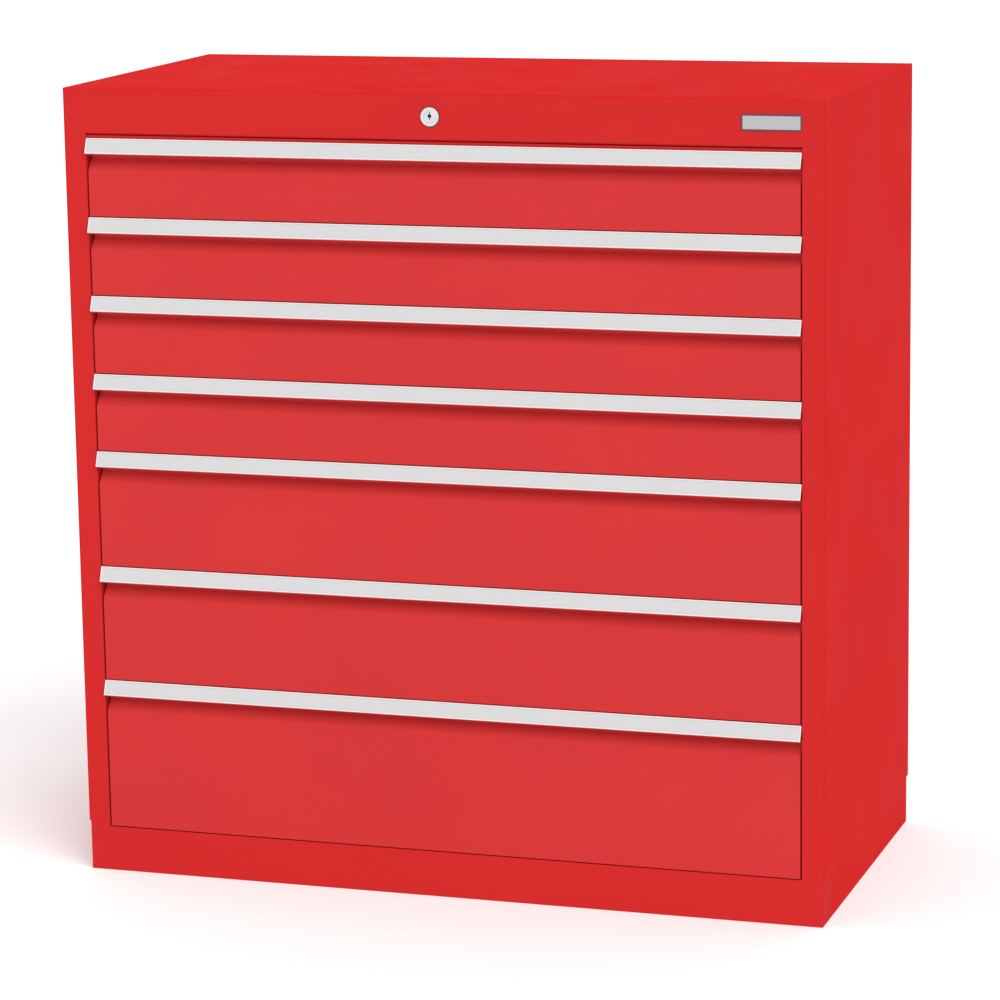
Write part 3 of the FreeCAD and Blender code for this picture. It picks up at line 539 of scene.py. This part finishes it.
def holderOutline(top):
    # flat bar with a lip along each edge that holds the card
    thick, long = front["gripThickness"], grip["length"]
    lipWidth, out, deep, rise = grip["lip"], grip["lipDepth"], grip["slotDepth"], grip["slotRise"]
    edge, lipEdge = grip["edge"], grip["edge"] * grip["lipEdgeShare"]
    corners = [(thick, 0), (0, 0), (0, lipWidth), (out, lipWidth), (out, rise), (deep, rise),
               (deep, long - rise), (out, long - rise), (out, long - lipWidth),
               (0, long - lipWidth), (0, long), (thick, long)]
    bends = [0, edge, lipEdge, 0, 0, 0, 0, 0, 0, lipEdge, edge, 0]
    return leaning(roundedOutline(corners, bends, steps=5), top)


def barOutline(top, near, far, start, end, edge):
    corners = [(far, start), (near, start), (near, end), (far, end)]
    return leaning(roundedOutline(corners, [edge] * 4, steps=4), top)


def makeGrips():
    cap, long, inset = grip["capWidth"], grip["length"], grip["cardInset"]
    for n in drawerNumbers:
        low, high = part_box(f"drawer_{n}_grip")
        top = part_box(f"drawer_{n}_front")[1].z
        body = f"drawer_{n}"
        start, end = low.x + cap, high.x - cap
        makePiece(f"gripHolder{n}", swept(holderOutline(top), start, end, "x"), body,
                  gripMetal, [f"drawer_{n}_grip"], sharp=40)
        block = barOutline(top, 0, front["gripThickness"], 0, long, grip["edge"])
        caps = merged([swept(block, low.x, start, "x"), swept(block, end, high.x, "x")])
        makePiece(f"gripCaps{n}", caps, body, capPlastic,
                  bevel=grip["capBevel"], sharp=32)
        label = barOutline(top, grip["cardFront"], grip["cardBack"], inset, long - inset, 0.0)
        makePiece(f"labelCard{n}", swept(label, start, end, "x"), body,
                  labelCard, sharp=32)


# Cylinder lock. Depths are from the rail's face, negative towards the viewer.

lock = {
    "collar": 0.01175, "height": 0.0022, "bore": 0.00765, "segments": 96,
    "rim": 0.0008, "rimFrom": 1.8, "dishTo": 2.4,  # both in rim widths from the outside
    "dish": 0.0003, "seatHeight": 0.0019, "seatWidth": 0.0006, "seatSlope": 0.0011,
    "barrel": 0.0095, "length": 0.026, "chamfer": 0.0008,
    "threadPitch": 0.0015, "threadDepth": 0.0004, "threadStart": 0.0025, "threadStop": 0.002,
}
plug = {
    "radius": 0.0076, "sunk": 0.0005, "edge": 0.0003, "segments": 240,
    "boss": 0.0044, "bossHeight": 0.0004, "bossEdge": 0.0003,
    "bead": (0.0065, 0.0067, 0.0072, 0.0075), "beadHeight": 0.00022,
    "holeRadius": 0.0024, "slotWidth": 0.001, "slotLength": 0.0092, "depth": 0.012,
    "rise": 0.001, "holeEdge": 0.0002, "flares": (0.00012, 0.00014, 0.00016),
    "wardSunk": 0.0007, "wardPlay": 0.00004, "wardLeast": 0.0001,
}
# ring of painted shade round the lock collar
shadowRing = {
    "reach": 0.0127, "height": 0.0005, "wall": 0.0004, "rise": 0.0013, "overlap": 0.0001,
    "round": 0.0002, "slope": 0.0003,
}
tiny = 1e-9  # keeps a division from zero


def lockCentre():
    low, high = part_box("lock_housing")
    return ((low.x + high.x) / 2, frontY, (low.z + high.z) / 2)


def makeCollar():
    # profile from the bore round the dished face and its rim, then the threaded barrel
    out, high, rim, dish = lock["collar"], lock["height"], lock["rim"], lock["dish"]
    seat, bore, barrel, long = lock["seatHeight"], lock["bore"], lock["barrel"], lock["length"]
    chamfer = lock["chamfer"]
    face = [(-seat, bore), (-seat, bore + lock["seatWidth"]),
            (-high + dish, bore + lock["seatSlope"]),
            (-high + dish, out - lock["dishTo"] * rim), (-high, out - lock["rimFrom"] * rim)]
    edge = arc((-high + rim, out - rim), rim, math.pi, math.pi / 2, steps=8)
    turns = np.arange(lock["threadStart"], long - lock["threadStop"], lock["threadPitch"] / 2)
    thread = np.c_[turns, barrel - lock["threadDepth"] * (np.arange(len(turns)) % 2)]
    back = [(long - chamfer, barrel), (long, barrel - chamfer), (long, bore), (-seat, bore)]
    profile = np.concatenate([face, edge, [(0, out), (0, barrel)], thread, back])
    makePiece("lockCollar", lathed(profile, lockCentre(), lock["segments"]), "cabinet",
              lockMetal, ["lock_housing"], sharp=35)


def makePlug():
    # radius by angle: the keyhole and its boss above the axis, then circles to the plug's edge
    angles = np.arange(plug["segments"]) * 2 * math.pi / plug["segments"]
    side = plug["slotWidth"] / 2 / np.maximum(np.abs(np.cos(angles)), tiny)
    end = plug["slotLength"] / 2 / np.maximum(np.abs(np.sin(angles)), tiny)
    keyhole = np.maximum(plug["holeRadius"], np.minimum(side, end))
    face = -lock["height"] + plug["sunk"]
    top, floor = face - plug["bossHeight"], face + plug["depth"]
    bead, beadTop, rise = plug["bead"], face - plug["beadHeight"], plug["rise"]
    first, second, third = [keyhole + flare for flare in plug["flares"]]
    circle = np.ones_like(angles)
    raised = [(0 * circle, floor), (keyhole, floor), (keyhole, top + plug["holeEdge"]),
              (first, top), (np.maximum(second, plug["boss"]), top),
              (np.maximum(third, plug["boss"] + plug["bossEdge"]), face)]
    level = [(bead[0] * circle, face), (bead[1] * circle, beadTop), (bead[2] * circle, beadTop),
             (bead[3] * circle, face), (plug["radius"] * circle, face + plug["edge"]),
             (plug["radius"] * circle, lock["length"]), (0 * circle, lock["length"])]
    radii, depths = zip(*raised, *level)
    rises = np.r_[np.full(len(raised), rise), np.zeros(len(level))]
    makePiece("lockPlug", rings(radii, depths, angles, lockCentre(), rises), "lock",
              lockMetal, ["lock_plug"], sharp=35)
    # real wards inside the keyhole, coloured near-black as painted shade for the dark hole
    ward = np.maximum(keyhole - plug["wardPlay"], plug["wardLeast"])
    wardFace = face + plug["wardSunk"]
    wards = rings([0 * circle, ward, ward, 0 * circle], [wardFace, wardFace, floor, floor],
                  angles, lockCentre(), rise)
    makePiece("keyWards", wards, "lock", keyholeShadeBlack, sharp=35)


def makeShadowRing():
    # near-black ring: a flange on the rail and a thin wall up the side of the collar, painted
    # shade for the dark gap round the collar and its shaded side
    near, high, top = lock["collar"] - shadowRing["overlap"], shadowRing["height"], -shadowRing["rise"]
    far, curve = near + shadowRing["wall"], shadowRing["round"]
    profile = [(0.0, near), (top, near), (top, far), (-high - curve, far), (-high, far + curve),
               (-high, shadowRing["reach"] - shadowRing["slope"]), (0.0, shadowRing["reach"]), (0.0, near)]
    makePiece("lockShadowRing", lathed(profile, lockCentre(), lock["segments"]), "cabinet",
              shadowRingBlack, sharp=40)


# Plate at the right end of the rail, left bare

plate = {
    "round": 0.0012, "roundSteps": 6, "rim": 0.0017, "rimHeight": 0.0009, "rimEdge": 0.0002,
    "faceHeight": 0.0006, "faceRound": 0.0006, "overlap": 0.0002,
}


def carriedRound(section, low, high, radius, steps):
    # a section of inset and height carried round a rectangle with round corners: the inset goes
    # inwards along the outline's normal, the height towards the viewer
    corners = np.array([(high.x, high.z), (low.x, high.z), (low.x, low.z), (high.x, low.z)])
    inward = np.array([(-1, -1), (1, -1), (1, 1), (-1, 1)])
    quarters = np.arange(4)[:, None] * math.pi / 2
    angles = np.linspace(0, math.pi / 2, steps)[None] + quarters
    outward = np.stack([np.cos(angles), np.sin(angles)], -1).reshape(-1, 2)
    middle = np.repeat(corners + inward * radius, steps, axis=0)
    section = np.asarray(section, float)
    flat = middle[:, None] + outward[:, None] * (radius - section[None, :, :1])
    depth = np.broadcast_to(frontY - section[None, :, 1], flat.shape[:2])
    verts = np.stack([flat[..., 0], depth, flat[..., 1]], -1).reshape(-1, 3)
    across, ring = len(section), len(outward)
    around, step = np.meshgrid(np.arange(ring), np.arange(across), indexing="ij")
    here, onward = around * across, (around + 1) % ring * across
    nextStep = (step + 1) % across
    faces = np.stack([here + step, onward + step, onward + nextStep, here + nextStep], -1)
    return verts, faces.reshape(-1, 4).tolist()


def makePlate():
    low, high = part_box("blank_plate")
    rim, tall, edge = plate["rim"], plate["rimHeight"], plate["rimEdge"]
    section = [(0, 0), (0, tall - edge), (edge, tall), (rim - edge, tall), (rim, tall - edge),
               (rim, 0)]
    # the raised rim is coloured near-black as a painted shadow line round the plate
    rimShape = carriedRound(section, low, high, plate["round"], plate["roundSteps"])
    makePiece("plateRim", rimShape, "cabinet", plateShadowRim, ["blank_plate"],
              sharp=60)
    inset = rim - plate["overlap"]
    left, right, foot, head = low.x + inset, high.x - inset, low.z + inset, high.z - inset
    corners = [(left, foot), (right, foot), (right, head), (left, head)]
    outline = roundedOutline(corners, [plate["faceRound"]] * 4, steps=5)
    makePiece("plateFace", swept(outline, frontY - plate["faceHeight"], frontY, "y"), "cabinet",
              plateMetal, sharp=32)


# Screws on the back

screw = {
    "perPost": 6, "radius": 0.005, "height": 0.002, "domeDrop": 0.55, "domePower": 2.6,
    "domeRings": 20, "shank": 0.0024, "length": 0.009, "segments": 48,
    "recessHalf": 0.00045, "recessReach": 0.0023, "recessDepth": 0.0013, "recessSlope": 0.0005,
}


def screwShape(centre):
    # domed head by angle and radius; a cross is pressed in where either arm's edge is passed
    angles = np.arange(screw["segments"]) * 2 * math.pi / screw["segments"]
    shares = np.linspace(0, 1, screw["domeRings"])[:, None]
    radius, half, reach = screw["radius"], screw["recessHalf"], screw["recessReach"]
    dome = screw["height"] * (1 - screw["domeDrop"] * shares ** screw["domePower"])
    x, z = np.abs(shares * np.cos(angles)) * radius, np.abs(shares * np.sin(angles)) * radius
    past = np.minimum(np.maximum(x - half, z - reach), np.maximum(z - half, x - reach))
    pressed = np.clip(0.5 - past / screw["recessSlope"], 0, 1) * screw["recessDepth"]
    tail = np.array([radius, screw["shank"], screw["shank"], 0])[:, None] + 0 * angles
    tailDepths = np.array([0, 0, -screw["length"], -screw["length"]])[:, None] + 0 * angles
    radii = np.concatenate([shares * radius + 0 * angles, tail])
    return rings(radii, np.concatenate([dome - pressed, tailDepths]), angles, centre)


def makeScrews():
    low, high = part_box("back_screws")
    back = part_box("back_panel")[1].y
    edge = screw["radius"]
    heights = np.linspace(low.z + edge, high.z - edge, screw["perPost"])
    shapes = [screwShape((x, back, z)) for x in (low.x + edge, high.x - edge) for z in heights]
    makePiece("backScrews", merged(shapes), "cabinet", screwZinc,
              ["back_screws"], sharp=45)


# Back panel with pressed stiffening beads

rear = {
    "beads": 4, "reach": 0.385, "half": 0.011, "slope": 0.003, "depth": 0.003,
    "step": 0.00075, "plainCells": 12,
}


def makeBack():
    # grid of the sheet; depth falls smoothly with the distance to each bead's middle line
    low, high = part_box("back_panel")
    reach, half, slope, step = rear["reach"], rear["half"], rear["slope"], rear["step"]
    middles = np.linspace(low.z, high.z, rear["beads"] + 2)[1:-1]
    around = np.arange(-half - slope, half + slope + step / 2, step)
    ends = np.r_[np.linspace(-reach, reach, rear["plainCells"]), -reach + around, reach + around]
    across = np.unique(np.r_[low.x, high.x, ends].round(6))  # to a thousandth of a millimetre
    heights = np.unique(np.r_[low.z, high.z, (middles[:, None] + around).ravel()].round(6))
    x, z = np.meshgrid(across, heights, indexing="ij")
    beyond = np.maximum(np.abs(x) - (reach - half), 0)
    away = np.hypot(beyond, np.abs(z[..., None] - middles).min(-1)) - half
    share = np.clip(0.5 - away / (2 * slope), 0, 1)
    pressed = rear["depth"] * share * share * (3 - 2 * share)
    layers = [np.stack([x, y - pressed, z], -1).reshape(-1, 3) for y in (high.y, low.y)]
    outer, inner = np.arange(2 * x.size).reshape(2, *x.shape)
    faces = [np.stack([n[:-1, :-1], n[1:, :-1], n[1:, 1:], n[:-1, 1:]], -1).reshape(-1, 4)
             for n in (outer, inner)]
    rim = np.concatenate([outer[:, 0], outer[-1, 1:], outer[-2::-1, -1], outer[0, -2:0:-1]])
    onward = np.roll(rim, -1)
    faces.append(np.stack([rim, onward, onward + x.size, rim + x.size], 1))
    makePiece("backSheet", (np.concatenate(layers), np.concatenate(faces).tolist()), "cabinet",
              bodyCoat, ["back_panel"], sharp=40)


# Folded lip behind the lower edge of the top rail

lip = {
    "setBack": 0.0025, "sheet": 0.001, "clear": 0.0004, "bend": 0.0004, "groove": 0.0017,
    "joggle": 0.0042, "returnDepth": 0.006,
}


def makeLip():
    low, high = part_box("top_rail")
    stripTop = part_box("drawer_1_front")[1].z
    near = frontY + lip["setBack"]
    deep, step = near + lip["joggle"], low.z - lip["groove"]
    path = [(near, stripTop + lip["clear"]), (near, step), (deep, step), (deep, low.z),
            (deep + lip["returnDepth"], low.z)]
    outline = sheetOutline(path, -lip["sheet"], lip["bend"])
    makePiece("railLip", swept(outline, low.x, high.x, "x"), "cabinet",
              bodyCoat, sharp=32)


# Drawer trays with rows of divider slots

tray = {
    "sheet": 0.001, "frontDepth": 0.021, "floorRise": 0.006, "rimDrop": 0.018,
    "rimWidth": 0.007, "rimReturn": 0.003, "bend": 0.0008, "hem": 0.007, "slideSpace": 0.0135,
    "slotPitch": 0.017, "slotWidth": 0.0022, "slotHeight": 0.013, "margin": 0.03,
    "rowPitch": 0.025, "rowStart": 0.016, "rowClear": 0.002,
}
catch = {
    "height": 0.006, "depth": 0.004, "reach": 0.0084, "gap": 0.0017, "rise": 0.0605,
    "round": 0.0006,
}


def slotGrid(half, slotHalf, low, high, rowLow, rowHigh):
    # cell edges and which cells are sheet: every second cell in both directions is a slot
    pitch, tall = tray["slotPitch"], tray["slotHeight"]
    count = int((2 * slotHalf) // pitch) + 1
    middles = (np.arange(count) - (count - 1) / 2) * pitch
    sides = np.array([-0.5, 0.5]) * tray["slotWidth"]
    across = np.r_[-half, (middles[:, None] + sides).ravel(), half]
    rows = int((rowHigh - rowLow - tall) // tray["rowPitch"]) + 1
    starts = rowLow + np.arange(rows) * tray["rowPitch"]
    heights = np.r_[low, (starts[:, None] + np.array([0, tall])).ravel(), high]
    solid = np.ones((len(across) - 1, len(heights) - 1), bool)
    solid[1::2, 1::2] = False
    return across, heights, solid


def makeTray(n):
    # slotted inner front and rear, hem, floor, sides with rolled rims, and the lock's catch
    low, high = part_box(f"drawer_{n}_tray")
    sheet, half = tray["sheet"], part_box("top_rail")[1].x - tray["slideSpace"]
    start, end = frontY + tray["frontDepth"], high.y
    inner, floor, rimTop = start + sheet, low.z + tray["floorRise"], high.z - tray["rimDrop"]
    hemLow, rearHalf, slots = rimTop - tray["hem"], half - sheet, half - tray["margin"]
    rows = (floor + tray["rowStart"], hemLow - tray["rowClear"])
    plain = np.ones((1, 1), bool)
    shapes = [
        slottedSheet(*slotGrid(-low.x, slots, low.z, high.z, *rows), start, inner),
        slottedSheet(*slotGrid(rearHalf, slots, floor + sheet, rimTop, *rows), end - sheet, end),
        slottedSheet([-rearHalf, rearHalf], [hemLow, rimTop], plain, end - 2 * sheet, end - sheet),
    ]
    bottom = [(-half, floor), (half, floor), (half, floor + sheet), (-half, floor + sheet)]
    shapes.append(swept(bottom, inner, end, "y"))
    rimEnd = half - tray["rimWidth"]
    path = [(half, floor + sheet), (half, rimTop), (rimEnd, rimTop),
            (rimEnd, rimTop - tray["rimReturn"])]
    side = sheetOutline(path, sheet, tray["bend"])
    shapes += [swept(side * (mirror, 1), inner, end - 2 * sheet, "y") for mirror in (-1, 1)]
    near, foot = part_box("locking_bar")[1].y + catch["gap"], low.z + catch["rise"]
    far, head = near + catch["depth"], foot + catch["height"]
    block = [(near, foot), (far, foot), (far, head), (near, head)]
    blockOutline = roundedOutline(block, [catch["round"]] * 4, steps=4)
    shapes.append(swept(blockOutline, half, half + catch["reach"], "x"))
    makePiece(f"drawerTray{n}", merged(shapes), f"drawer_{n}", trayCoat,
              [f"drawer_{n}_tray"])


# Rivets that hold the drawer rails to the tray; profiles are depth and radius

rivet = {
    "places": (0.08, 0.36, 0.64, 0.92), "webDepth": 0.007, "grip": 0.0025, "segments": 28,
    "head": [(-0.0006, 0), (-0.0006, 0.0009), (-0.0013, 0.0011), (-0.0014, 0.0014),
             (-0.0012, 0.0024), (-0.0006, 0.0032), (0, 0.0034), (0, 0.0016)],
    "tail": [(0, 0.0016), (0, 0.0026), (0.0004, 0.0027), (0.0008, 0.002), (0.001, 0)],
}


def makeRivets(n):
    # the profile turned about X: the head outside, the closed tail inside the tray
    low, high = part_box(f"drawer_{n}_inner_rails")
    profile = np.r_[rivet["head"], np.array(rivet["tail"]) + (rivet["grip"], 0)]
    verts, faces = lathed(profile, (0, 0, 0), rivet["segments"])
    z = (low.z + high.z) / 2
    shapes = []
    for side, tip in ((-1, low.x), (1, high.x)):
        web = tip - side * rivet["webDepth"]
        for share in rivet["places"]:
            y = low.y + share * (high.y - low.y)
            placed = np.c_[web - side * verts[:, 1], y + verts[:, 0], z + verts[:, 2]]
            shapes.append((placed, faces))
    makePiece(f"railRivets{n}", merged(shapes), f"drawer_{n}", screwZinc,
              sharp=40)


makeFronts()
makeGrips()
print("drawer fronts and grips")
makeCollar()
makePlug()
makeShadowRing()
makePlate()
makeScrews()
makeBack()
makeLip()
print("lock, plate, screws, back and lip")
for n in drawerNumbers:
    makeTray(n)
    makeRivets(n)
print("trays and rivets")
